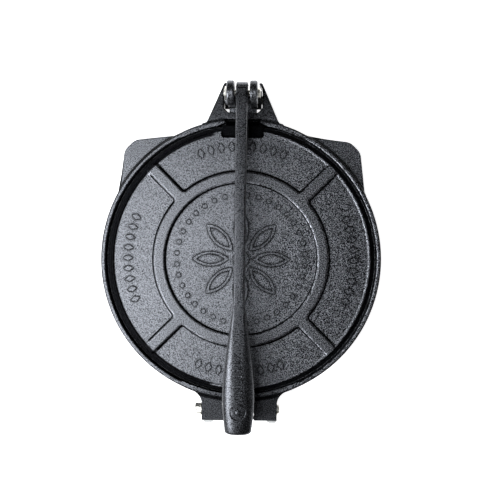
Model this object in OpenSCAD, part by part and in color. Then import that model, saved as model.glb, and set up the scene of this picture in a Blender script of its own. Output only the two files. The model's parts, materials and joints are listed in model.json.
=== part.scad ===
// Cast-iron tortilla press: a round base, a hinged pressing plate and a long lever in a fork.
// +Y points to the lever's pivot, +Z is up, and the origin is on the table under the middle.

/* [Base casting] */
// Outer diameter of the round base
base_d = 254; // [236:1:272]
// Height of the pressing face above the table
face_z = 24; // [23:0.5:30]
// Thickness of the pressing disc
disc_t = 4.6; // [4:0.1:6]
// Width of the raised rim
rim_w = 4.4; // [3.5:0.1:6]
// Height of the rim above the pressing face
rim_h = 5; // [4:0.5:7]
// Thickness of the skirt under the rim
skirt_t = 4.4; // [3.5:0.1:6]
// Clear height under the skirt
skirt_z = 12; // [10:0.5:14]
// Thickness of the crossed ribs under the disc
rib_t = 4; // [3:0.5:6]
// How far the ribs stop short of the skirt's lower edge
rib_rise = 1.5; // [0.5:0.5:3]
// Radius of the round boss where the ribs cross
rib_hub_r = 15; // [10:1:20]

/* [Wings] */
// How far a wing's slanted face stands out of the round base
wing_out = 18.6; // [14:0.1:20]
// Radius of a wing's two corners
wing_r = 12; // [8:0.5:13]
// Length of the slanted face between the corners
wing_face = 4.8; // [3:0.1:8]
// Angle between a wing's middle and the normal of its long edges
wing_flare = 38.4; // [36:0.1:40]
// Radius where a wing's edge runs into the round base
wing_blend_r = 20; // [12:1:30]
// How far a wing's top lies below the rim's top
wing_drop = 6; // [5:0.5:8]
// Thickness of a wing's top and walls
wing_t = 5; // [4:0.5:6]

/* [Lever bracket on the base] */
// Distance from the round base to the horn tips
horn_reach = 33.3; // [31:0.1:36]
// Distance from the round base to the fork pin
pin_reach = 19; // [18:0.5:20]
// Height of the fork pin above the table
pin_z = 14.5; // [14:0.5:17]
// Width across the horn tips
horn_tip_w = 34.6; // [34:0.2:42]
// Width of the bracket where it meets the round base
bracket_root_w = 63.4; // [58:0.2:80]
// Radius where the bracket runs into the round base
bracket_blend_r = 11; // [8:0.5:14]
// Width of the notch between the horns
notch_w = 35; // [34.6:0.1:35.4]
// Size of the notch's two slanted corners
notch_corner = 4; // [2:0.5:4]
// How far the horn tips lean into the notch
horn_lean = 3.4; // [0.5:0.1:3.6]
// Thickness of the wall between the notch and the round base
notch_wall = 6.4; // [5.5:0.1:6.5]
// How far the bracket's top lies below the rim's top
bracket_drop = 4; // [3:0.5:6]
// Height of the bracket's underside above the table
bracket_z = 5.5; // [4:0.5:6]
// Width of the opening in the rim in front of the bracket
opening_w = 32.8; // [32:0.2:36]
// Width of the flare where the rim runs into the opening
opening_flare = 6.4; // [4:0.2:8]
// Depth of the opening's floor below the pressing face
opening_drop = 2.5; // [1:0.5:3]

/* [Hinge lug on the base] */
// Width of the lug
lug_w = 68; // [60:1:76]
// How far the lug's top lies below the rim's top
lug_drop = 0.6; // [0.4:0.1:1]
// Radius where the lug runs into the round base
lug_blend_r = 13; // [10:1:24]
// Distance from the round base to the hinge bolt
hinge_reach = 10; // [10:0.5:14]
// Height of the hinge bolt above the table
hinge_z = 22; // [20:0.5:23]
// Distance from the hinge bolt to the lug's end
lug_end = 9.2; // [9:0.1:12]
// How far the lug's slot reaches inside the rim
slot_in = 3.2; // [3:0.1:4]

/* [Pressing plate] */
// Gap between the plate's edge and the rim, all round
plate_gap = 4.1; // [3.6:0.1:8]
// How much smaller the plate's top side is, per side
plate_draft = 1.5; // [1:0.5:5]
// Thickness of the plate in its sunk panels
plate_t = 5.4; // [5:0.1:8]
// Height of the raised ring and spokes
relief_h = 1; // [0.8:0.1:2]
// How far the walls of the ring and spokes lean
relief_draft = 2.6; // [0.4:0.1:2.8]
// Radius of the sunk middle of the plate
middle_r = 69; // [60:1:74]
// Width of the raised ring round the sunk middle
ring_w = 10.5; // [6:0.5:14]
// Width of the four raised spokes
spoke_w = 10.8; // [6:0.2:16]
// Radius of the sunk panels' inner corners
panel_r = 3.2; // [2.8:0.2:6]
// Width of the low bead along the plate's edge
edge_bead_w = 2.4; // [1.6:0.2:3]
// Height of the low bead
edge_bead_h = 0.4; // [0.3:0.1:0.8]
// Gap between the closed plate and the pressing face
press_gap = 0.4; // [0.3:0.1:1]
// Width of the smooth pad that the lever presses on
pad_w = 38.6; // [32:0.2:44]
// Length of the pad, measured in from the plate's edge
pad_l = 8.7; // [7:0.1:12]
// Thickness of the plate under the pad
pad_t = 4; // [3.5:0.1:4.4]
// Width of the block under the pad, where it stands out of the plate's edge
block_w = 37; // [34:0.2:38]
// How far the block stands out of the plate's edge
block_l = 2.4; // [1:0.1:2.8]
// Width of the lip that stands in the rim's opening
lip_w = 30.6; // [24:0.2:31]
// Length of the lip past the plate's edge
lip_l = 6.6; // [4:0.2:7]
// How far the lip's top slopes down to its end
lip_drop = 2.2; // [1:0.2:3]
// Diameter of the knuckle round the hinge bolt
knuckle_d = 13.6; // [12:0.2:15]
// Width of the knuckle and its arm
knuckle_w = 25.6; // [20:0.2:30]
// Thickness of the arm under the knuckle's top
arm_t = 9; // [7:0.5:10]
// Angle to which the plate opens
plate_open = 105; // [95:1:115]

/* [Plate ornament] */
// Height of the ornament above the sunk faces
ornament_h = 0.9; // [0.6:0.1:1.2]
// Distance from the plate's edge in to the middle of the ornament's rows
row_in = 15; // [12:0.5:17]
// Length of a row's lozenge
lozenge_l = 9; // [6:0.5:12]
// Width of a row's lozenge
lozenge_w = 5; // [3:0.5:7]
// Distance between the lozenges of a row
lozenge_pitch = 9.5; // [8:0.5:14]
// Number of lozenges in a row
lozenge_count = 9; // [5:2:9]
// Number of petals in the middle
petal_count = 8; // [6:1:10]
// Distance from the middle to a petal's inner point
petal_in = 11; // [9:0.5:14]
// Length of a petal
petal_l = 33; // [20:1:34]
// Width of a petal
petal_w = 13; // [6:0.5:14]
// Width of the groove inside a petal's border
petal_border = 1.8; // [1.2:0.1:2.4]
// Radius of the flower's round heart
heart_r = 7; // [5:0.5:9]
// Radius of the ring of beads
bead_ring_r = 58; // [54:1:62]
// Number of beads in the ring
bead_count = 36; // [18:6:42]
// Diameter of a bead
bead_d = 3.6; // [2:0.2:5]

/* [Fork] */
// Height from the fork pin to the lever bolt
fork_h = 42.5; // [40:0.5:46]
// Diameter of a fork ear
ear_d = 22; // [18:0.5:24]
// Thickness of a fork ear
ear_t = 6.8; // [6:0.1:7.2]
// Gap between the ears
ear_gap = 13.6; // [12.6:0.1:14]
// Width of an ear's neck below its round end
neck_w = 15; // [12:0.5:16]
// Diameter of the fork's barrel round the pin
barrel_d = 17; // [15:0.5:17]
// Thickness of the web between the ears
web_t = 8; // [6:0.5:10]
// Width of the stop block at the notch's wall
stop_w = 25; // [20:0.5:26]
// Height of the stop block above and below the pin
stop_h = 6; // [5:0.5:7]
// Angle to which the fork tips outward
fork_tilt = 20; // [10:1:22]

/* [Lever] */
// Distance from the lever bolt to the grip's end
lever_l = 299.5; // [280:0.5:320]
// Height of the lever's arch
arch = 12; // [6:0.5:14]
// Width of the lever's bar
bar_w = 9.6; // [8:0.2:10]
// Depth of the bar at the pivot
bar_h = 19.4; // [18:0.2:19.8]
// How far the bar runs past the lever bolt
bar_over = 2.4; // [1:0.2:3]
// Depth of the grip
grip_h = 13.5; // [11:0.5:16]
// Radius along the bar's edges
bar_edge_r = 1.4; // [0.8:0.1:2]
// Width of the grip's rounded shoulders
shoulder_w = 11; // [6:0.5:12]
// Height of the grip's rounded shoulders
shoulder_h = 5.5; // [4:0.25:6.25]
// Width of the grip at its widest
grip_w = 28; // [24:0.5:32]
// Width of the grip at its end
grip_end_w = 22.6; // [16:0.2:26]
// Length over which the bar widens into the grip
grip_l = 122; // [100:1:140]
// Distance from the grip's widest place to its end
grip_swell = 31; // [24:1:40]
// Radius of the grip's end
grip_end_r = 3; // [3:0.5:6]
// Diameter of the round boss on the lever bolt
boss_d = 19.2; // [18:0.2:20]
// Width of the boss and the nose
boss_w = 10.2; // [10:0.1:11]
// Distance from the lever bolt back to the nose
nose_reach = 31; // [29:0.5:33]
// Diameter of the nose that presses the plate
nose_d = 18; // [14:0.5:18]
// How much the nose widens into the bar towards the bolt
nose_front = 5; // [2:0.5:8]
// How much the nose widens into the bar towards the grip
nose_back = 15; // [8:0.5:24]

/* [Pins, bolts and pads] */
// Diameter of the fork pin
fork_pin_d = 8; // [6:0.5:9]
// Diameter of both bolts
bolt_d = 6; // [5:0.5:6]
// Diameter of the bolt heads
head_d = 10.4; // [9:0.2:12]
// Height of the bolt heads
head_h = 2.4; // [1.8:0.1:3]
// Width of the nuts across their flats
nut_w = 10; // [9:0.5:11]
// Height of the nuts
nut_h = 5; // [4:0.2:6]
// Depth of the nut pocket in the fork's ear
nut_pocket = 3.4; // [2:0.2:3.6]
// Diameter of the hinge washer
washer_d = 12; // [11:0.5:13]
// Thickness of the hinge washer
washer_t = 1.2; // [0.8:0.1:2]
// How far the bolts stand out of their nuts
thread_out = 0.8; // [0:0.1:1.5]
// Width of a leg under a wing or the lug
leg_w = 9; // [8:0.5:11]
// Length of a rubber pad
foot_l = 15; // [12:0.5:16]
// Width of a rubber pad
foot_w = 9.4; // [8:0.2:12]
// Thickness of a rubber pad
foot_t = 3; // [2:0.5:4]
// Radius of a pad's corners
foot_r = 2.5; // [1:0.5:4]
// Diameter of the stud that holds a pad
stud_d = 4; // [3:0.5:5]
// Height of the stud above its pad
stud_h = 4; // [3:0.5:5]

/* [Fits] */
// Radial clearance of a turning pin
pin_play = 0.08; // [0.03:0.01:0.1]
// Radial clearance of a nut or washer on its bolt
thread_play = 0.04; // [0.02:0.01:0.08]
// Clearance beside moving castings
side_gap = 0.4; // [0.3:0.1:0.6]
// Clearance at stops and under the nose
stop_gap = 0.3; // [0.2:0.1:0.5]

/* [Hidden] */
// Facets of the drawn circles, and steps of an outline's arc
round_fn = 96;
arc_steps = 8;
// Degrees between the points of an arc that blends into a round body
blend_step = 7;
// Steps of a panel's inner wall
ring_steps = 24;
// Steps along the lever's bar, its grip and the grip's end
bar_steps = 10;
grip_steps = 24;
end_steps = 6;
// How quickly the grip narrows to its end
end_power = 1.6;
// Most of a section's side that its rounding takes
edge_share = 0.98;
// Overrun of cuts, and how deep joined pieces reach into each other
bite = 1;
iron = "#2b2b2d";
zinc = "#c9c6bd";
rubber = "#c9c9c6";

// Base
base_r = base_d / 2;
face_r = base_r - rim_w;
rim_z = face_z + rim_h;
disc_z = face_z - disc_t;
inner_r = base_r - skirt_t;
wing_z = rim_z - wing_drop;
wing_mid = 45;

// Bracket
pin_y = base_r + pin_reach;
horn_y = base_r + horn_reach;
notch_y = base_r + notch_wall;
notch_x = notch_w / 2;
bracket_top = rim_z - bracket_drop;
bracket_slope = (bracket_root_w - horn_tip_w) / 2 / horn_reach;
bracket_turn = atan(bracket_slope);
bracket_off = cos(bracket_turn) * (horn_tip_w / 2 + bracket_slope * horn_y);

// Hinge
hinge_y = -(base_r + hinge_reach);
knuckle_r = knuckle_d / 2;
lug_y = hinge_y - lug_end;
lug_z = rim_z - lug_drop;
slot_x = knuckle_w / 2 + side_gap;
slot_y = -(face_r - slot_in);
back_y = hinge_y - knuckle_r - stop_gap;
lean = plate_open - 90;
back_rise = (knuckle_r + stop_gap - knuckle_r * cos(lean)) / sin(lean);
back_z = hinge_z - knuckle_r * sin(lean) + back_rise * cos(lean) - stop_gap;

// Pressing plate
plate_r = face_r - plate_gap;
plate_top_r = plate_r - plate_draft;
row_r = plate_top_r - row_in;
plate_z = face_z + press_gap;
panel_z = plate_z + plate_t;
relief_z = panel_z + relief_h;
pad_z = plate_z + pad_t;
pad_y = plate_r - pad_l;
block_y = plate_r + block_l;
lip_y = plate_r + lip_l;
ring_r = middle_r + ring_w;
arm_y = slot_y - 2 * side_gap;

// Fork and lever
bolt_y = pin_y;
bolt_z = pin_z + fork_h;
ear_x = ear_gap / 2 + ear_t;
barrel_x = notch_x - side_gap - stop_gap;
stop_reach = pin_y - notch_y - stop_gap;
web_top = bolt_z - boss_d / 2 - side_gap - bite;
arch_r = (pow(lever_l / 2, 2) + pow(arch, 2)) / (2 * arch);
arch_turn = asin(lever_l / 2 / arch_r);
nose_z = pad_z + stop_gap + nose_d / 2;

// The disc's middle lies off the origin, which is the middle of the whole length
far_y = max(horn_y, bolt_y + ear_d / 2);
near_y = min(bolt_y - lever_l, lug_y + leg_w - foot_l);
disc_y = -(far_y + near_y) / 2;

// Legs and pads
leg_r = base_r + leg_w / 2 - bite;
leg_x = lug_w / 2 - leg_w / 2;
leg_y = lug_y + leg_w / 2;

function polar(r, a) = [r * cos(a), r * sin(a)];

// Points along an arc
function arc(c, r, a, b) = [for (i = [0:arc_steps]) c + polar(r, a + (b - a) * i / arc_steps)];

// Points that lead from a round body of radius body_r to a straight edge with this normal
function blend(body_r, r, normal, off, side) =
    let (
        turn = side * acos((off + r) / (body_r + r)),
        middle = polar(body_r + r, normal + turn),
        steps = max(2, round(abs(turn) / blend_step))
    )
    [for (i = [1:steps]) middle + polar(r, normal + 180 + turn * (1 - i / steps))];

// Points inside a round body that lead round from one point's direction to another's
function seam(r, from, to) = arc([0, 0], r, atan2(from.y, from.x), atan2(to.y, to.x));

function reversed(points) = [for (i = [len(points) - 1:-1:0]) points[i]];

function mirrored(points) = reversed([for (p = points) [-p.x, p.y]]);

// Puts a piece in place on the disc's middle
module on_disc() {
    translate([0, disc_y, 0]) children();
}

// Cylinder along X, centred on its length
module rod(r, l) {
    rotate([0, 90, 0]) cylinder(r = r, h = l, center = true, $fn = round_fn);
}

// Block along X with this outline in Y and Z
module slab(l, points) {
    rotate([90, 0, 90]) linear_extrude(l, center = true) polygon(points);
}

// Outline of one wing, drawn round +X, with its edges moved inward
function wing_outline(inset) =
    let (
        corner_x = base_r + wing_out - wing_r,
        corner_y = wing_face / 2,
        off = corner_x * cos(wing_flare) + corner_y * sin(wing_flare) + wing_r - inset,
        upper = concat(
            arc([corner_x, corner_y], wing_r - inset, 0, wing_flare),
            reversed(blend(base_r - inset, wing_blend_r + inset, wing_flare, off, -1))
        ),
        lower = reversed([for (p = upper) [p.x, -p.y]])
    )
    concat(lower, upper, seam(base_r - inset - bite, upper[len(upper) - 1], lower[0]));

module wing() {
    difference() {
        translate([0, 0, skirt_z])
            linear_extrude(wing_z - skirt_z) polygon(wing_outline(0));
        translate([0, 0, skirt_z - bite])
            linear_extrude(wing_z - wing_t - skirt_z + bite) polygon(wing_outline(wing_t));
    }
    translate([leg_r - leg_w / 2, -leg_w / 2, foot_t])
        cube([leg_w, leg_w, wing_z - wing_t + bite - foot_t]);
}

// Outline of a right half, its mirror image and the arc inside the base that closes them
function closed_on_base(half) =
    concat(half, mirrored(half), seam(base_r - bite, [-half[0].x, half[0].y], half[0]));

// Right half of the bracket's outline: out along the side, round the horn and into the notch
function bracket_half() =
    let (
        lean_y = pin_y + barrel_d / 2 + side_gap,
        tip_x = horn_tip_w / 2
    )
    concat(
        blend(base_r, bracket_blend_r, bracket_turn, bracket_off, 1),
        [
            [tip_x, horn_y],
            [notch_x - horn_lean, horn_y],
            [notch_x, lean_y],
            [notch_x, notch_y + notch_corner],
            [notch_x - notch_corner, notch_y]
        ]
    );

module bracket() {
    translate([0, 0, bracket_z])
        linear_extrude(bracket_top - bracket_z)
            polygon(closed_on_base(bracket_half()));
}

// Opening in the rim, where the plate's lip stands
module rim_opening() {
    x = opening_w / 2;
    flare_y = face_r - rim_w / 2;
    translate([0, 0, face_z - opening_drop])
        linear_extrude(rim_h + opening_drop + bite)
            polygon([
                [-x - opening_flare, flare_y], [x + opening_flare, flare_y],
                [x, face_r + rim_w / 4], [x, base_r], [-x, base_r], [-x, face_r + rim_w / 4]
            ]);
}

module lug() {
    half = concat(
        blend(base_r, lug_blend_r, 0, lug_w / 2, -1),
        [[lug_w / 2, lug_y]]
    );
    translate([0, 0, skirt_z])
        linear_extrude(lug_z - skirt_z) polygon(closed_on_base(half));
    for (side = [-1, 1])
        translate([side * leg_x - leg_w / 2, lug_y, foot_t])
            cube([leg_w, leg_w, skirt_z + bite - foot_t]);
}

// Slot for the plate's arm; its back wall stops the open plate
module lug_slot() {
    translate([-slot_x, back_y, skirt_z - bite])
        cube([2 * slot_x, slot_y - back_y, rim_z - skirt_z + 2 * bite]);
    translate([-slot_x, lug_y - bite, back_z])
        cube([2 * slot_x, back_y - lug_y + 2 * bite, rim_z - back_z + bite]);
}

module ribs() {
    reach = inner_r + bite;
    translate([0, 0, skirt_z + rib_rise]) {
        for (turn = [wing_mid, wing_mid + 90])
            rotate([0, 0, turn])
                translate([-reach, -rib_t / 2, 0])
                    cube([2 * reach, rib_t, disc_z - skirt_z - rib_rise + bite]);
        cylinder(r = rib_hub_r, h = disc_z - skirt_z - rib_rise + bite, $fn = round_fn);
    }
}

// Places of the four legs: the wings' first, then the lug's
module at_front_leg(side) {
    rotate([0, 0, 90 - side * wing_mid]) translate([leg_r, 0, 0]) children();
}

module at_rear_leg(side) {
    translate([side * leg_x, leg_y, 0]) rotate([0, 0, -90]) children();
}

module base() {
    color(iron) on_disc() difference() {
        union() {
            rotate_extrude($fn = round_fn)
                polygon([
                    [0, disc_z], [inner_r, disc_z], [inner_r, skirt_z], [base_r, skirt_z],
                    [base_r, rim_z], [face_r, rim_z], [face_r, face_z], [0, face_z]
                ]);
            ribs();
            for (side = [-1, 1]) rotate([0, 0, 90 - side * wing_mid]) wing();
            bracket();
            lug();
        }
        rim_opening();
        lug_slot();
        bolt_seats();
        translate([0, hinge_y, hinge_z]) rod(bolt_d / 2 + pin_play, lug_w + 2 * bite);
        translate([0, pin_y, pin_z]) rod(fork_pin_d / 2, bracket_root_w);
        for (side = [-1, 1]) {
            at_front_leg(side) stud_hole();
            at_rear_leg(side) stud_hole();
        }
    }
}

module stud_hole() {
    translate([0, 0, foot_t - bite])
        cylinder(d = stud_d, h = stud_h + stop_gap + bite, $fn = round_fn);
}

// How far a leaning wall stands out of its middle at this height above the sunk faces
function wall_lean(z) = relief_draft * (1 / 2 - z / relief_h);

// Outline of the sunk panel round +X between two spokes, with its walls moved inward
function panel_outline(inset) =
    let (
        turn = acos((spoke_w / 2 + panel_r) / (ring_r + panel_r)) - wing_mid,
        side = polar(1, wing_mid),
        out = [side.y, -side.x] * (spoke_w / 2 + inset),
        upper = concat(
            [side * (plate_r + bite) + out],
            arc(polar(ring_r + panel_r, turn), panel_r - inset, wing_mid + 90, turn + 180)
        ),
        inner = [for (i = [1:ring_steps - 1]) polar(ring_r + inset, turn * (1 - 2 * i / ring_steps))],
        lower = reversed([for (p = upper) [p.x, -p.y]])
    )
    concat(upper, inner, lower, [[plate_r * 2, 0]]);

// Space of a sunk panel, from inside the plate to above the ring
module panel_space() {
    heights = [-bite / 2, relief_h + bite];
    n = len(panel_outline(0));
    polyhedron(
        points = [for (z = heights) each [for (p = panel_outline(wall_lean(z))) [p.x, p.y, z]]],
        faces = concat(
            [[for (i = [0:n - 1]) i], [for (i = [n - 1:-1:0]) i + n]],
            [for (i = [0:n - 1]) [i, i + n, (i + 1) % n + n, (i + 1) % n]]
        )
    );
}

// Space of the sunk middle, the same way
module middle_space() {
    low = -bite / 2;
    high = relief_h + bite;
    translate([0, 0, low])
        cylinder(
            r1 = middle_r - wall_lean(low), r2 = middle_r - wall_lean(high),
            h = high - low, $fn = round_fn
        );
}

module relief() {
    difference() {
        translate([0, 0, panel_z - bite])
            cylinder(r = plate_top_r, h = relief_h + bite, $fn = round_fn);
        translate([0, 0, panel_z]) {
            middle_space();
            for (turn = [0:90:270]) rotate([0, 0, turn]) panel_space();
        }
    }
}

// Flat seats for the hinge bolt's head and nut, where the lug runs into the base
module bolt_seats() {
    seat_l = washer_t + nut_h + thread_out + bite;
    for (side = [-1, 1])
        translate([side * (lug_w + seat_l) / 2, hinge_y, hinge_z])
            rod(max(washer_d, head_d) / 2 + side_gap, seat_l);
}

// Clears the smooth pad that the lever's nose presses on
module pad_cut() {
    x = pad_w / 2;
    y = pad_y;
    corner = panel_r / 2;
    translate([0, 0, pad_z])
        linear_extrude(plate_t + relief_h)
            polygon([
                [-x, plate_r + bite], [-x, y + corner], [-x + corner, y],
                [x - corner, y], [x, y + corner], [x, plate_r + bite]
            ]);
}

module lozenge() {
    linear_extrude(ornament_h + bite)
        polygon([
            [lozenge_l / 2, 0], [0, lozenge_w / 2], [-lozenge_l / 2, 0], [0, -lozenge_w / 2]
        ]);
}

// Pointed petal along +X between two arcs
module petal(l, w) {
    r = (pow(l / 2, 2) + pow(w / 2, 2)) / w;
    turn = asin(l / 2 / r);
    polygon(concat(
        arc([l / 2, w / 2 - r], r, 90 + turn, 90 - turn),
        arc([l / 2, r - w / 2], r, turn - 90, -90 - turn)
    ));
}

module ornament() {
    pitch = lozenge_pitch / row_r * 180 / PI;
    first = -(lozenge_count - 1) / 2;
    translate([0, 0, panel_z - bite]) {
        for (turn = [0:90:270], i = [0:lozenge_count - 1])
            rotate([0, 0, turn + (first + i) * pitch])
                translate([row_r, 0, 0]) lozenge();
        for (i = [0:petal_count - 1])
            rotate([0, 0, 90 + i * 360 / petal_count])
                translate([petal_in, 0, 0])
                    linear_extrude(ornament_h + bite) difference() {
                        petal(petal_l, petal_w);
                        translate([petal_border * 2, 0])
                            petal(petal_l - petal_border * 4, petal_w - petal_border * 2);
                    }
        cylinder(r = heart_r, h = ornament_h + bite, $fn = round_fn);
        for (i = [0:bead_count - 1])
            rotate([0, 0, (i + 0.5) * 360 / bead_count])
                translate([bead_ring_r, 0, 0])
                    cylinder(d = bead_d, h = ornament_h + bite, $fn = round_fn);
    }
}

// Arm and knuckle that carry the plate on the hinge bolt
module knuckle_arm() {
    top = hinge_z + knuckle_r;
    slab(knuckle_w, [
        [hinge_y, top - arm_t], [arm_y, top - arm_t], [arm_y, plate_z],
        [-plate_top_r + plate_draft, plate_z], [-plate_top_r + plate_draft, top], [hinge_y, top]
    ]);
    translate([0, hinge_y, hinge_z]) rod(knuckle_r, knuckle_w);
}

module top_plate() {
    color(iron) on_disc() difference() {
        union() {
            difference() {
                union() {
                    rotate_extrude($fn = round_fn)
                        polygon([
                            [0, plate_z], [plate_r, plate_z], [plate_top_r, panel_z + edge_bead_h],
                            [plate_top_r - edge_bead_w / 2, panel_z + edge_bead_h],
                            [plate_top_r - edge_bead_w, panel_z], [0, panel_z]
                        ]);
                    relief();
                    ornament();
                }
                pad_cut();
            }
            translate([-block_w / 2, pad_y, plate_z])
                cube([block_w, block_y - pad_y, pad_t]);
            slab(lip_w, [
                [pad_y, plate_z], [lip_y, plate_z], [lip_y, pad_z - lip_drop],
                [block_y, pad_z], [pad_y, pad_z]
            ]);
            knuckle_arm();
        }
        translate([0, hinge_y, hinge_z]) rod(bolt_d / 2 + pin_play, knuckle_w + 2 * bite);
    }
}

// One ear of the fork, from the barrel up to the lever bolt
module ear() {
    rod(barrel_d / 2, ear_t);
    translate([0, 0, fork_h]) rod(ear_d / 2, ear_t);
    slab(ear_t, [[-neck_w / 2, 0], [neck_w / 2, 0], [neck_w / 2, fork_h], [-neck_w / 2, fork_h]]);
}

// Block whose two faces meet the notch's wall, upright and tipped out
module stop_block() {
    knee = stop_reach * tan(fork_tilt / 2);
    foot = (stop_reach - stop_h * sin(fork_tilt)) / cos(fork_tilt);
    slab(stop_w, [
        [0, stop_h], [-stop_reach, stop_h], [-stop_reach, -knee], [-foot, -stop_h], [0, -stop_h]
    ]);
}

module hex(w, h) {
    rotate([0, 90, 0]) rotate([0, 0, 30])
        cylinder(d = w / cos(30), h = h, center = true, $fn = 6);
}

module fork() {
    color(iron) on_disc() translate([0, pin_y, pin_z]) difference() {
        union() {
            rod(barrel_d / 2, 2 * barrel_x);
            for (side = [-1, 1]) translate([side * (ear_gap + ear_t) / 2, 0, 0]) ear();
            translate([-ear_gap / 2 - bite, -web_t / 2, 0])
                cube([ear_gap + 2 * bite, web_t, web_top - pin_z]);
            stop_block();
        }
        rod(fork_pin_d / 2 + pin_play, 2 * barrel_x + 2 * bite);
        translate([0, 0, fork_h]) rod(bolt_d / 2 + pin_play, 2 * ear_x + 2 * bite);
        translate([-ear_x + (nut_pocket - bite) / 2, 0, fork_h])
            hex(nut_w + 2 * pin_play, nut_pocket + bite);
    }
}

// Eased step from 0 to 1
function ease(t) = let (u = min(max(t, 0), 1)) u * u * (3 - 2 * u);

// Width and depth of the lever at this distance from the grip's end
function lever_width(s) =
    s > grip_swell
        ? bar_w + (grip_w - bar_w) * ease(pow(max(grip_l - s, 0) / (grip_l - grip_swell), 0.85))
        : grip_w + (grip_end_w - grip_w) * pow((grip_swell - s) / grip_swell, end_power);

function lever_depth(s) = grip_h + (bar_h - grip_h) * ease((s - grip_swell) / (lever_l - grip_swell));

// Width and height of the rounding along its edges
function lever_edge(s) =
    let (t = ease((grip_l - s) / (grip_l - grip_swell)))
    [bar_edge_r + (shoulder_w - bar_edge_r) * t, bar_edge_r + (shoulder_h - bar_edge_r) * t];

// How much the end's rounding takes off each side
function end_loss(s) =
    s < grip_end_r ? grip_end_r - sqrt(pow(grip_end_r, 2) - pow(grip_end_r - s, 2)) : 0;

// Rounded rectangle of the lever's cross-section, across and up
function lever_section(s) =
    let (
        loss = end_loss(s),
        x = lever_width(s) / 2 - loss,
        z = lever_depth(s) / 2 - loss,
        rx = min(lever_edge(s).x, x) * edge_share,
        rz = min(lever_edge(s).y, z) * edge_share,
        corner = [for (p = arc([0, 0], 1, 0, 90)) [x - rx + rx * p.x, z - rz + rz * p.y]],
        top = concat(corner, mirrored(corner))
    )
    concat(top, reversed([for (p = top) [p.x, -p.y]]));

// Distances from the grip's end at which the lever is drawn
lever_stations = concat(
    [for (i = [0:bar_steps - 1]) lever_l + bar_over - (lever_l + bar_over - grip_l) * i / bar_steps],
    [for (i = [0:grip_steps - 1]) grip_l - (grip_l - grip_end_r) * i / grip_steps],
    [for (i = [0:end_steps]) grip_end_r * (1 - sin(90 * i / end_steps))]
);

// Arched arm of the lever, from the bolt at the origin back to the grip's end
module lever_arm() {
    mid_y = -lever_l / 2;
    mid_z = arch - arch_r;
    rings = [for (s = lever_stations)
        let (turn = arch_turn * (2 * s / lever_l - 1))
        [for (p = lever_section(s))
            [p.x, mid_y + (arch_r + p.y) * sin(turn), mid_z + (arch_r + p.y) * cos(turn)]]];
    n = len(rings[0]);
    last = len(rings) - 1;
    sides = [for (i = [0:last - 1], j = [0:n - 1])
        let (a = i * n + j, b = i * n + (j + 1) % n)
        each [[a, b + n, b], [a, a + n, b + n]]];
    caps = [for (j = [1:n - 2]) each [[0, j, j + 1], [last * n, last * n + j + 1, last * n + j]]];
    polyhedron(points = [for (ring = rings) each ring], faces = concat(sides, caps));
}

// Nose under the bar, with a round end that presses the plate's pad
module nose() {
    drop = nose_z - bolt_z;
    translate([0, -nose_reach, drop]) rod(nose_d / 2, boss_w);
    slab(boss_w, [
        [-nose_reach - nose_d / 2, drop], [-nose_reach + nose_d / 2, drop],
        [-nose_reach + nose_d / 2 + nose_front, 0], [-nose_reach - nose_d / 2 - nose_back, bar_h / 4]
    ]);
}

module lever() {
    color(iron) on_disc() translate([0, bolt_y, bolt_z]) difference() {
        union() {
            lever_arm();
            rod(boss_d / 2, boss_w);
            nose();
        }
        rod(bolt_d / 2 + pin_play, boss_w + 2 * bite);
    }
}

module fork_pin() {
    half = horn_tip_w / 2 + bracket_slope * (horn_y - pin_y - fork_pin_d / 2);
    color(zinc) on_disc() translate([0, pin_y, pin_z]) rod(fork_pin_d / 2, 2 * half);
}

// Bolt along X: its head at the +X end, its thread's end at the -X end
module bolt(head_x, end_x) {
    translate([(head_x + end_x) / 2, 0, 0]) rod(bolt_d / 2, head_x - end_x);
    rotate([0, 90, 0]) translate([0, 0, head_x])
        cylinder(d1 = head_d, d2 = head_d - head_h, h = head_h, $fn = round_fn);
}

module nut(x) {
    translate([x, 0, 0]) difference() {
        hex(nut_w, nut_h);
        rod(bolt_d / 2 + thread_play, nut_h + 2 * bite);
    }
}

module lever_bolt() {
    seat = -ear_x + nut_pocket;
    color(zinc) on_disc() translate([0, bolt_y, bolt_z]) bolt(ear_x, seat - nut_h - thread_out);
}

module lever_nut() {
    seat = -ear_x + nut_pocket;
    color(zinc) on_disc() translate([0, bolt_y, bolt_z]) nut(seat - nut_h / 2);
}

module hinge_bolt() {
    color(zinc) on_disc() translate([0, hinge_y, hinge_z])
        bolt(lug_w / 2, -lug_w / 2 - washer_t - nut_h - thread_out);
}

module hinge_washer() {
    color(zinc) on_disc() translate([-lug_w / 2 - washer_t / 2, hinge_y, hinge_z])
        difference() {
            rod(washer_d / 2, washer_t);
            rod(bolt_d / 2 + thread_play, washer_t + 2 * bite);
        }
}

module hinge_nut() {
    color(zinc) on_disc() translate([0, hinge_y, hinge_z]) nut(-lug_w / 2 - washer_t - nut_h / 2);
}

// Rubber pad along +X, flush with the leg's inner side and out past its outer side
module foot_pad() {
    in = -leg_w / 2 + foot_r;
    out = foot_l - leg_w / 2 - foot_r;
    y = foot_w / 2 - foot_r;
    linear_extrude(foot_t)
        polygon(concat(
            arc([out, y], foot_r, 0, 90), arc([in, y], foot_r, 90, 180),
            arc([in, -y], foot_r, 180, 270), arc([out, -y], foot_r, 270, 360)
        ));
    cylinder(d = stud_d, h = foot_t + stud_h, $fn = round_fn);
}

module foot_pad_front_left() { color(rubber) on_disc() at_front_leg(-1) foot_pad(); }

module foot_pad_front_right() { color(rubber) on_disc() at_front_leg(1) foot_pad(); }

module foot_pad_rear_left() { color(rubber) on_disc() at_rear_leg(-1) foot_pad(); }

module foot_pad_rear_right() { color(rubber) on_disc() at_rear_leg(1) foot_pad(); }

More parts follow.
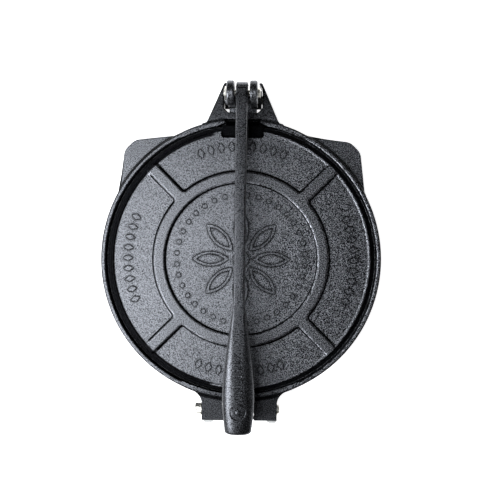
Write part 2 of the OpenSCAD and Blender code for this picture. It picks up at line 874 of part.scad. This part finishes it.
base();
top_plate();
fork();
lever();
fork_pin();
lever_bolt();
lever_nut();
hinge_bolt();
hinge_washer();
hinge_nut();
foot_pad_front_left();
foot_pad_front_right();
foot_pad_rear_left();
foot_pad_rear_right();
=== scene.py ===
import json
from math import cos, hypot, pi, radians, sin

import bmesh
import bpy
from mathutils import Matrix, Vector
from mathutils.bvhtree import BVHTree


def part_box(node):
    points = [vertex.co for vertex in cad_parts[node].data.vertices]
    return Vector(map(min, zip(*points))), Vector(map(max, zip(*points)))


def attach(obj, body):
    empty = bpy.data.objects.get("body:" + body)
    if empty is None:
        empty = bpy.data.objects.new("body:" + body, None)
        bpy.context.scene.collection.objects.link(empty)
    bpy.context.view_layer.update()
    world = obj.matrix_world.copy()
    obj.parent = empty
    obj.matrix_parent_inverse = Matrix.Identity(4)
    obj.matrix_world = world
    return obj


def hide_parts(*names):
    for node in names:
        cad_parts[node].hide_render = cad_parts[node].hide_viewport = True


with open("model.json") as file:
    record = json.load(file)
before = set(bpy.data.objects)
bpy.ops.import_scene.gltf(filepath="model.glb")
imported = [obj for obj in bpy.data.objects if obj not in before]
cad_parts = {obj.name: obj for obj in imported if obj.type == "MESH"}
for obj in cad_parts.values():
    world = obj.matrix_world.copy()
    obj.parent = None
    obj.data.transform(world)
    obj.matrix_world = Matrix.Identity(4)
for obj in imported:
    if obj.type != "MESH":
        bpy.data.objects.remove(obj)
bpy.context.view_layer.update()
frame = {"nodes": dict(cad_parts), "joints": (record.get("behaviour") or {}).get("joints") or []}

# Camera: it hangs level above the press, a little under a metre up and a little to its right, as
# the photograph was taken. Its picture is shifted a little, because the photograph is cropped off
# the lens's middle.
camera_data = bpy.data.cameras.new("camera")
camera_data.lens = 78.3
camera_data.sensor_width = 36
camera_data.shift_x = -0.0666
camera_data.shift_y = 0.0375
camera_data.clip_start = 0.01
camera = bpy.data.objects.new("camera", camera_data)
camera.location = (0.028, -0.00205, 0.974)
camera.rotation_euler = (0, 0, radians(0.72))
bpy.context.scene.collection.objects.link(camera)
bpy.context.scene.camera = camera


# Ground: a wide sheet of white studio paper, lit from behind so that it photographs pure white.
# The press stands on it, on its four pads.
def start_finish(name):
    """Starts a material, and gives it with its shader's sockets."""
    material = bpy.data.materials.new(name)
    material.use_nodes = True
    return material, material.node_tree.nodes["Principled BSDF"].inputs


bpy.ops.object.select_all(action="DESELECT")
bpy.ops.mesh.primitive_plane_add(size=6, location=(0, 0, 0))
ground = bpy.context.object
ground.name = "studio_ground"
paper, paper_shader = start_finish("studio_paper")
paper_shader["Base Color"].default_value = (0.8, 0.8, 0.8, 1)
paper_shader["Roughness"].default_value = 0.9
paper_shader["Emission Color"].default_value = (1, 1, 1, 1)
paper_shader["Emission Strength"].default_value = 0.95
ground.data.materials.append(paper)

# Light: one long soft box slopes away to the left of the press, a small one stands behind it for
# the grip, a faint one stands on the right, and the room is dim. The iron's left half mirrors the
# long box, and its right half doesn't.
world = bpy.data.worlds.new("dim_room")
bpy.context.scene.world = world
world.use_nodes = True
room = world.node_tree.nodes["Background"].inputs
room["Color"].default_value = (1, 1, 1, 1)
room["Strength"].default_value = 0.05
cool_white = (0.93, 0.96, 1)


def add_soft_box(name, place, target, size, power):
    """Stands a rectangular soft box at its place, and turns it to its target."""
    light = bpy.data.lights.new(name, "AREA")
    light.color = cool_white
    light.shape = "RECTANGLE"
    light.size, light.size_y = size
    light.energy = power
    box = bpy.data.objects.new(name, light)
    box.location = place
    box.rotation_euler = (Vector(target) - Vector(place)).to_track_quat("-Z", "Y").to_euler()
    bpy.context.scene.collection.objects.link(box)


add_soft_box("soft_box_long", (-0.66, 0, 0.95), (-0.12, 0, 0), (0.38, 1.37), 11.6)
add_soft_box("soft_box_rear", (-0.62, -0.5, 0.85), (0, -0.1, 0), (0.3, 0.35), 12)
add_soft_box("soft_box_right", (1.0, -0.2, 0.5), (0, 0, 0), (0.5, 0.5), 0.5)
bpy.context.scene.view_settings.view_transform = "Standard"


# Base: one heavy iron casting. It has the round pressing disc with its raised rim and skirt, two
# wings, the horned bracket in front and the hinge lug behind, all with soft cast edges. It is
# seasoned black, with painted shade in the gap round its plate, on its rim's corner and over both
# its ends.
iron_pit = (0.004, 0.004, 0.0045, 1)
iron_crown = (0.2, 0.205, 0.22, 1)
# The colour of the painted shade in crevices
iron_crevice_shade = (0.004, 0.004, 0.004, 1)
darkening_tint = (0.035, 0.035, 0.037, 1)
disc_middle = Vector((0, -0.0034, 0))
rim_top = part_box("base")[1].z
lug_top = rim_top - 0.0006
gap_radius = 0.1175
corner_radius = 0.1276
# A height far less than any step's, and the reaches from an axis that take in the edges of a bore
# and of the seats for a bolt's head and nut
hair = 0.0001
bolt_bore = 0.0035
pin_bore = 0.0045
bolt_seat = 0.0075


def joint_place(name):
    """Gives a joint's point, which lies in the press's middle plane."""
    return Vector(next(joint["pos_m"] for joint in frame["joints"] if joint["name"] == name))


def near_axis(place, axis_place, reach):
    """Says if a place is within reach of an axis that runs from left to right."""
    return hypot(place.y - axis_place.y, place.z - axis_place.z) < reach


def feed(material, socket, source):
    """Sets a socket to a value, or links it to another node's output."""
    if isinstance(source, bpy.types.NodeSocket):
        material.node_tree.links.new(source, socket)
    else:
        socket.default_value = source


def piece_place(material):
    """Gives a point's place on the press, from the one node that reads it."""
    nodes = material.node_tree.nodes
    place = nodes.get("Texture Coordinate") or nodes.new("ShaderNodeTexCoord")
    return place.outputs["Object"]


def grain(material, scale, detail, roughness):
    """Adds a cloudy pattern with that many lumps to the metre."""
    pattern = material.node_tree.nodes.new("ShaderNodeTexNoise")
    feed(material, pattern.inputs["Vector"], piece_place(material))
    feed(material, pattern.inputs["Scale"], scale)
    feed(material, pattern.inputs["Detail"], detail)
    feed(material, pattern.inputs["Roughness"], roughness)
    return pattern.outputs["Fac"]


def spread(material, source, low, high, to_low, to_high):
    """Maps a pattern's low and high to two other values."""
    span = material.node_tree.nodes.new("ShaderNodeMapRange")
    feed(material, span.inputs["Value"], source)
    for socket, value in zip(("From Min", "From Max", "To Min", "To Max"), (low, high, to_low, to_high)):
        feed(material, span.inputs[socket], value)
    return span.outputs["Result"]


def mix_colours(material, one, other, share, way="MIX"):
    """Mixes two colours by a share from 0 to 1."""
    mix = material.node_tree.nodes.new("ShaderNodeMix")
    mix.data_type = "RGBA"
    mix.blend_type = way
    for socket, source in (("A", one), ("B", other), ("Factor", share)):
        feed(material, mix.inputs[socket], source)
    return mix.outputs["Result"]


def reckon(material, operation, *terms):
    """Works a value out from one or two others."""
    result = material.node_tree.nodes.new("ShaderNodeMath")
    result.operation = operation
    for socket, term in zip(result.inputs, terms):
        feed(material, socket, term)
    return result.outputs["Value"]


def emboss(material, pattern, depth, under=None):
    """Raises a pattern by its depth, over another relief where there is one."""
    relief = material.node_tree.nodes.new("ShaderNodeBump")
    feed(material, relief.inputs["Distance"], depth)
    feed(material, relief.inputs["Height"], pattern)
    if under:
        feed(material, relief.inputs["Normal"], under)
    return relief.outputs["Normal"]


def coordinate(material, part):
    """Gives a point's X, Y or Z, or its radius from the disc's axis."""
    nodes = material.node_tree.nodes
    if part != "radius":
        parts = nodes.new("ShaderNodeSeparateXYZ")
        feed(material, parts.inputs["Vector"], piece_place(material))
        return parts.outputs[part]
    flat = nodes.new("ShaderNodeMapping")
    flat.inputs["Location"].default_value = -disc_middle
    flat.inputs["Scale"].default_value = (1, 1, 0)
    feed(material, flat.inputs["Vector"], piece_place(material))
    length = nodes.new("ShaderNodeVectorMath")
    length.operation = "LENGTH"
    feed(material, length.inputs[0], flat.outputs["Vector"])
    return length.outputs["Value"]


def away(material, part, middle):
    """Gives how far a point's coordinate is from a middle value."""
    offset = reckon(material, "SUBTRACT", coordinate(material, part), middle)
    return reckon(material, "ABSOLUTE", offset)


def cast_iron(name, grain_depth, roughness, shade_reach, shade_end=0.9):
    """Seasoned black iron: a pebbled sand-cast skin with dark pits, and painted shade along its crevices.

    To the right of the middle the skin has painted glints, with brighter crowns and darker pits. The
    painted shade lies where other surfaces within the given reach leave the skin less open than the
    given end value.
    """
    shade_fade = 0.16
    material, shader = start_finish(name)
    shader["Metallic"].default_value = 1
    pebbles = grain(material, scale=1300, detail=2, roughness=0.6)
    grit = grain(material, scale=2400, detail=1, roughness=0.5)
    clouds = grain(material, scale=26, detail=4, roughness=0.6)

    skin = mix_colours(material, iron_pit, iron_crown, spread(material, pebbles, 0.34, 0.6, 0, 1))
    # Painted glints: right of the middle the crowns are brightened and the pits darkened.
    right_glint_share = spread(material, coordinate(material, "X"), -0.01, 0.06, 0, 1)
    right_glint_tint = spread(material, pebbles, 0.44, 0.64, 0.1, 1.7)
    glinting_skin = mix_colours(material, skin, right_glint_tint, right_glint_share, "MULTIPLY")
    # Painted shade: ambient occlusion blackens the skin in crevices and at the feet of walls.
    crevice = material.node_tree.nodes.new("ShaderNodeAmbientOcclusion")
    crevice.samples = 8
    crevice.only_local = True
    crevice.inputs["Distance"].default_value = shade_reach
    unshaded_share = spread(material, crevice.outputs["AO"], shade_end - shade_fade, shade_end, 0, 1)
    feed(material, shader["Base Color"], mix_colours(material, iron_crevice_shade, glinting_skin, unshaded_share))

    cloudy = spread(material, clouds, 0.3, 0.7, -0.04, 0.05)
    pebbly = spread(material, pebbles, 0.4, 0.62, roughness - 0.07, roughness + 0.13)
    feed(material, shader["Roughness"], reckon(material, "ADD", cloudy, pebbly))
    fine = emboss(material, grit, grain_depth * 0.3)
    feed(material, shader["Normal"], emboss(material, pebbles, grain_depth, fine))
    return material


def darken_iron(material, source, low, high, strength=1):
    """Darkens iron by that strength where the source is at low, and not at all where it is at high."""
    colour = material.node_tree.nodes["Principled BSDF"].inputs["Base Color"]
    darkness = spread(material, source, low, high, strength, 0)
    feed(material, colour, mix_colours(material, colour.links[0].from_socket, darkening_tint, darkness, "MULTIPLY"))


def finish_casting(name, node, body, material, widest, rounding, segments=3, crease=24, cuts=()):
    """Copies a CAD node, rounds its sharp edges by rounding(place, valley) metres and stands for it.

    Cuts are planes (a point and a normal) that first divide its wide flat faces, so that roundings
    of different width don't fold them.
    """
    bpy.ops.object.select_all(action="DESELECT")
    piece = bpy.data.objects.new(name, frame["nodes"][node].data.copy())
    bpy.context.scene.collection.objects.link(piece)
    bpy.context.view_layer.objects.active = piece
    piece.select_set(True)
    bpy.ops.object.mode_set(mode="EDIT")
    bpy.ops.mesh.select_all(action="SELECT")
    bpy.ops.mesh.remove_doubles(threshold=0.000002)
    bpy.ops.mesh.dissolve_limited(angle_limit=radians(0.3))
    bpy.ops.object.mode_set(mode="OBJECT")
    if piece.data.has_custom_normals:
        bpy.ops.mesh.customdata_custom_splitnormals_clear()

    shape = bmesh.new()
    shape.from_mesh(piece.data)
    for point, normal in cuts:
        bmesh.ops.bisect_plane(
            shape, geom=shape.verts[:] + shape.edges[:] + shape.faces[:], dist=0.000001,
            plane_co=point, plane_no=normal,
        )
    weight = shape.edges.layers.float.new("bevel_weight_edge")
    for edge in shape.edges:
        if len(edge.link_faces) != 2:
            continue
        turn = edge.calc_face_angle_signed(0)
        if abs(turn) > radians(crease):
            edge[weight] = rounding((edge.verts[0].co + edge.verts[1].co) / 2, turn < 0) / widest
    shape.to_mesh(piece.data)
    shape.free()

    bpy.ops.object.shade_smooth_by_angle(angle=radians(crease))
    bevel = piece.modifiers.new("cast edges", "BEVEL")
    bevel.limit_method = "WEIGHT"
    bevel.width = widest
    bevel.segments = segments
    bevel.use_clamp_overlap = False
    bevel.harden_normals = True
    bpy.ops.object.modifier_apply(modifier=bevel.name)
    piece.data.materials.clear()
    piece.data.materials.append(material)
    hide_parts(node)
    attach(piece, body)
    return piece


hinge_place = joint_place("plate_hinge")
fork_place = joint_place("fork_swing")


def base_rounding(place, valley):
    """Rounds the rim most, and leaves the places that other pieces fit against crisp."""
    x, y, z = place
    if near_axis(place, hinge_place, bolt_seat) and abs(x) > 0.0335:
        return 0.0002
    if near_axis(place, hinge_place, bolt_bore):
        return 0.00025
    if near_axis(place, fork_place, pin_bore):
        return 0.0002
    # The low steps where the rim runs out into the lug and the bracket
    if z > lug_top - hair and abs(y) > 0.105 and abs(x) < 0.052:
        return 0
    # The legs under the lug
    if z < 0.013 and y < -0.11:
        return 0.0002
    if z > rim_top - hair:
        return 0.0016
    # The skirt's foot and the ribs
    if z < 0.0125:
        return 0.0003
    if valley:
        return 0.0014 if z > 0.0235 else 0.0008
    return 0.0011


base_iron = cast_iron("base_sand_cast_iron", 0.00014, 0.29, 0.004)
# Painted shade in the deep gap round the plate
darken_iron(base_iron, away(base_iron, "radius", gap_radius), 0.003, 0.0047)
# Painted shade along the rim's outer corner, near the rim's height
under_rim = spread(base_iron, away(base_iron, "Z", rim_top), 0.0025, 0.006, 0, 0.01)
rim_corner = reckon(base_iron, "MAXIMUM", away(base_iron, "radius", corner_radius), under_rim)
darken_iron(base_iron, rim_corner, 0.0015, 0.0022, 0.9)
# Painted shade over both ends, the bracket in front and the lug behind
darken_iron(base_iron, away(base_iron, "Y", 0), 0.127, 0.118, 0.67)
radial_cuts = [
    (disc_middle, (cos(pi * (i + 0.3) / 12), sin(pi * (i + 0.3) / 12), 0)) for i in range(12)
]
finish_casting("base_casting", "base", "base", base_iron, 0.003, base_rounding, cuts=radial_cuts)


# Rubber pads: four pale moulded pads under the two wings and the lug. Each is held by its stud in
# a leg of the base, and keeps the iron off the table.
pad_foot = 0.0032
pad_round = 0.0006
stud_round = 0.0002
rubber, rubber_shader = start_finish("pale_rubber")
rubber_bloom = grain(rubber, scale=240, detail=3, roughness=0.6)
rubber_tint = mix_colours(rubber, (0.5, 0.5, 0.49, 1), (0.63, 0.63, 0.61, 1), rubber_bloom)
feed(rubber, rubber_shader["Base Color"], rubber_tint)
rubber_shader["Roughness"].default_value = 0.72
feed(rubber, rubber_shader["Normal"], emboss(rubber, rubber_bloom, 0.00004))

for corner in ("front_left", "front_right", "rear_left", "rear_right"):
    finish_casting(
        f"rubber_pad_{corner}", f"foot_pad_{corner}", "base", rubber, pad_round,
        lambda place, valley: stud_round if place.z > pad_foot else pad_round,
    )


# Pressing plate: one iron casting on the hinge, with a ring and four spokes round sunk panels, a
# smooth pad for the lever's nose, and raised lozenges, petals and beads as its ornament. Painted
# shade lies at the foot of the panels' walls, down its side, along its left edge and on its left-hand
# walls.
plate_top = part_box("top_plate")[1].z
panel_top = plate_top - 0.001
edge_radius = 0.118
left_edge = -0.13
plate_iron = cast_iron("plate_sand_cast_iron", 0.00014, 0.29, 0.003, 0.99)
# Painted shade down the plate's side, below the panels
darken_iron(plate_iron, coordinate(plate_iron, "Z"), panel_top - 0.0008, panel_top - hair)
# Painted shade at the foot of the ring's, spokes' and ornament's walls, not on the edge bead
bead = spread(plate_iron, coordinate(plate_iron, "radius"), 0.1115, 0.1125, 0, 0.001)
wall_foot = reckon(plate_iron, "MAXIMUM", away(plate_iron, "Z", panel_top + 0.00035), bead)
darken_iron(plate_iron, wall_foot, 0.00018, 0.0003)
# Painted shade along the plate's left edge
right_side = spread(plate_iron, away(plate_iron, "X", left_edge), 0.09, 0.13, 0, 0.01)
plate_edge = reckon(plate_iron, "MAXIMUM", away(plate_iron, "radius", edge_radius), right_side)
darken_iron(plate_iron, plate_edge, 0.0032, 0.0042)
# Painted shade on the relief walls of the plate's left half
wall = reckon(plate_iron, "MAXIMUM", away(plate_iron, "Z", panel_top + 0.0005), bead)
left_wall = reckon(plate_iron, "MAXIMUM", wall, right_side)
darken_iron(plate_iron, left_wall, 0.0003, 0.00038, 0.65)


def plate_rounding(place, valley):
    """Rounds the ring, the spokes and the panels more than the small ornament."""
    x, y, z = place
    radius = hypot(x - disc_middle.x, y - disc_middle.y)
    if near_axis(place, hinge_place, bolt_bore):
        return 0.00025
    # The tops of the ring and the spokes, whose outer ends are crisp
    if z > panel_top + 0.00095:
        return 0.00025 if radius > 0.1145 else 0.0009
    # The ornament's tops, a little lower
    if z > panel_top + 0.0008:
        return 0.0003
    # The panels' level: the bead along the edge, and the feet of the ring, spokes and ornament
    if z > panel_top - hair:
        if radius > 0.113:
            return 0.0004
        near_ring = 0.066 < radius < 0.082
        near_spoke = radius > 0.07 and abs(abs(x) - abs(y - disc_middle.y)) < 0.0125
        return 0.0006 if near_ring or near_spoke else 0.00025
    return 0.0005


finish_casting(
    "plate_casting", "top_plate", "top_plate", plate_iron, 0.0009, plate_rounding,
    crease=13, cuts=radial_cuts,
)


# Hinge hardware: a steel bolt through the lug and the plate's knuckle, with its washer and nut.
# All three are zinc plated, with turned edges a little rounded.
def finish_zinc(node, body, edge_round):
    """Gives a bolt, washer, nut or pin its plating, with all its edges rounded alike."""
    finish_casting(
        f"{node}_finished", node, body, zinc, edge_round, lambda place, valley: edge_round
    )


zinc, zinc_shader = start_finish("bright_zinc")
zinc_shader["Metallic"].default_value = 1
zinc_clouds = grain(zinc, scale=300, detail=3, roughness=0.6)
zinc_tint = mix_colours(zinc, (0.78, 0.76, 0.7, 1), (0.9, 0.88, 0.8, 1), zinc_clouds)
feed(zinc, zinc_shader["Base Color"], zinc_tint)
feed(zinc, zinc_shader["Roughness"], spread(zinc, zinc_clouds, 0.3, 0.7, 0.24, 0.4))
scratches = grain(zinc, scale=2600, detail=1, roughness=0.5)
feed(zinc, zinc_shader["Normal"], emboss(zinc, scratches, 0.00001))

finish_zinc("hinge_bolt", "base", 0.0005)
finish_zinc("hinge_washer", "base", 0.0002)
finish_zinc("hinge_nut", "base", 0.0004)


# Fork: a small iron casting that tips between the bracket's horns, on a plain pin of the same
# zinc-plated steel. Its two round ears carry the lever.
lever_place = joint_place("lever_swing")
nut_pocket = 0.0063
ear_foot = 0.036


def fork_rounding(place, valley):
    """Rounds the two ears most, and keeps bores, the nut's pocket and the barrel crisp."""
    if near_axis(place, fork_place, pin_bore) or near_axis(place, lever_place, bolt_bore):
        return 0.0003
    if place.x < -0.0095 and near_axis(place, lever_place, nut_pocket):
        return 0.0003
    if place.z < ear_foot:
        return 0.0005
    return 0.0008 if valley else 0.0016


fork_iron = cast_iron("fork_sand_cast_iron", 0.0001, 0.29, 0.002)
pin_cuts = [(place, normal) for place in (fork_place, lever_place) for normal in ((0, 1, 0), (0, 0, 1))]
finish_casting(
    "fork_casting", "fork", "fork", fork_iron, 0.0016, fork_rounding,
    segments=4, cuts=pin_cuts,
)
finish_zinc("fork_pin", "base", 0.0005)


# Lever bolt and nut: zinc-plated steel, through the fork's two ears and the lever's boss. The
# lever turns on the bolt, and the nut sits in a pocket of the left ear.
finish_zinc("lever_bolt", "fork", 0.0005)
finish_zinc("lever_nut", "fork", 0.0004)


# Lever: one iron casting, an arched bar with a round boss on the bolt, a nose that presses the
# plate's pad, and a broad rounded grip over the hinge. Its bar and grip are darker away from the boss.
def lever_rounding(place, valley):
    """Rounds the boss, the nose and the bar's root. The CAD already rounds the rest of the lever."""
    if near_axis(place, lever_place, bolt_bore):
        return 0.0003
    if place.y < 0.09:
        return 0
    # The nose's small faces
    return 0.0003 if place.y < 0.14 and place.z < 0.0535 else 0.0009


lever_iron = cast_iron("lever_sand_cast_iron", 0.0001, 0.3, 0.0012)
# Darker away from the boss, towards the grip
darken_iron(lever_iron, away(lever_iron, "Y", 0.15), 0.1, 0.02, 0.53)
lever = finish_casting(
    "lever_casting", "lever", "lever", lever_iron, 0.0009, lever_rounding,
    cuts=[(lever_place, normal) for normal in ((1, 0, 0), (0, 1, 0), (0, 0, 1))],
)


# Grip ornament: a plain raised ring with a dot in it, and a strip of eight small oval links. They
# are cast with the lever and stand a little out of its grip, in the same black iron.
grip_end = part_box("lever")[0].y
ring_y = grip_end + 0.0205
first_link_y = grip_end + 0.0335
link_pitch = 0.0048
tube_rise = 0.0001
above_lever = 0.2


def cast_on_grip(name):
    """Lays the new flat piece on the lever's top, and finishes it as part of the casting."""
    piece = bpy.context.object
    piece.name = name
    bpy.ops.object.transform_apply()
    bpy.ops.object.shade_smooth()
    top = BVHTree.FromObject(lever, bpy.context.evaluated_depsgraph_get())
    for vert in piece.data.vertices:
        x, y, z = vert.co
        vert.co.z += top.ray_cast(Vector((x, y, above_lever)), Vector((0, 0, -1)))[0].z
    piece.data.materials.append(lever_iron)
    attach(piece, "lever")


bpy.ops.object.select_all(action="DESELECT")
bpy.ops.mesh.primitive_torus_add(
    major_radius=0.0071, minor_radius=0.0006, major_segments=72, minor_segments=12,
    location=(0, ring_y, tube_rise),
)
cast_on_grip("grip_ring")

bpy.ops.object.select_all(action="DESELECT")
bpy.ops.mesh.primitive_uv_sphere_add(
    segments=32, ring_count=16, radius=0.0026, location=(0, ring_y, 0)
)
bpy.ops.transform.resize(value=(1, 1, 0.3))
cast_on_grip("grip_dot")

for i in range(8):
    bpy.ops.object.select_all(action="DESELECT")
    bpy.ops.mesh.primitive_torus_add(
        major_radius=0.0021, minor_radius=0.0005, major_segments=40, minor_segments=10,
        location=(0, first_link_y + link_pitch * i, tube_rise),
    )
    bpy.ops.transform.resize(value=(1.6, 0.75, 1.1))
    cast_on_grip(f"grip_link_{i + 1}")
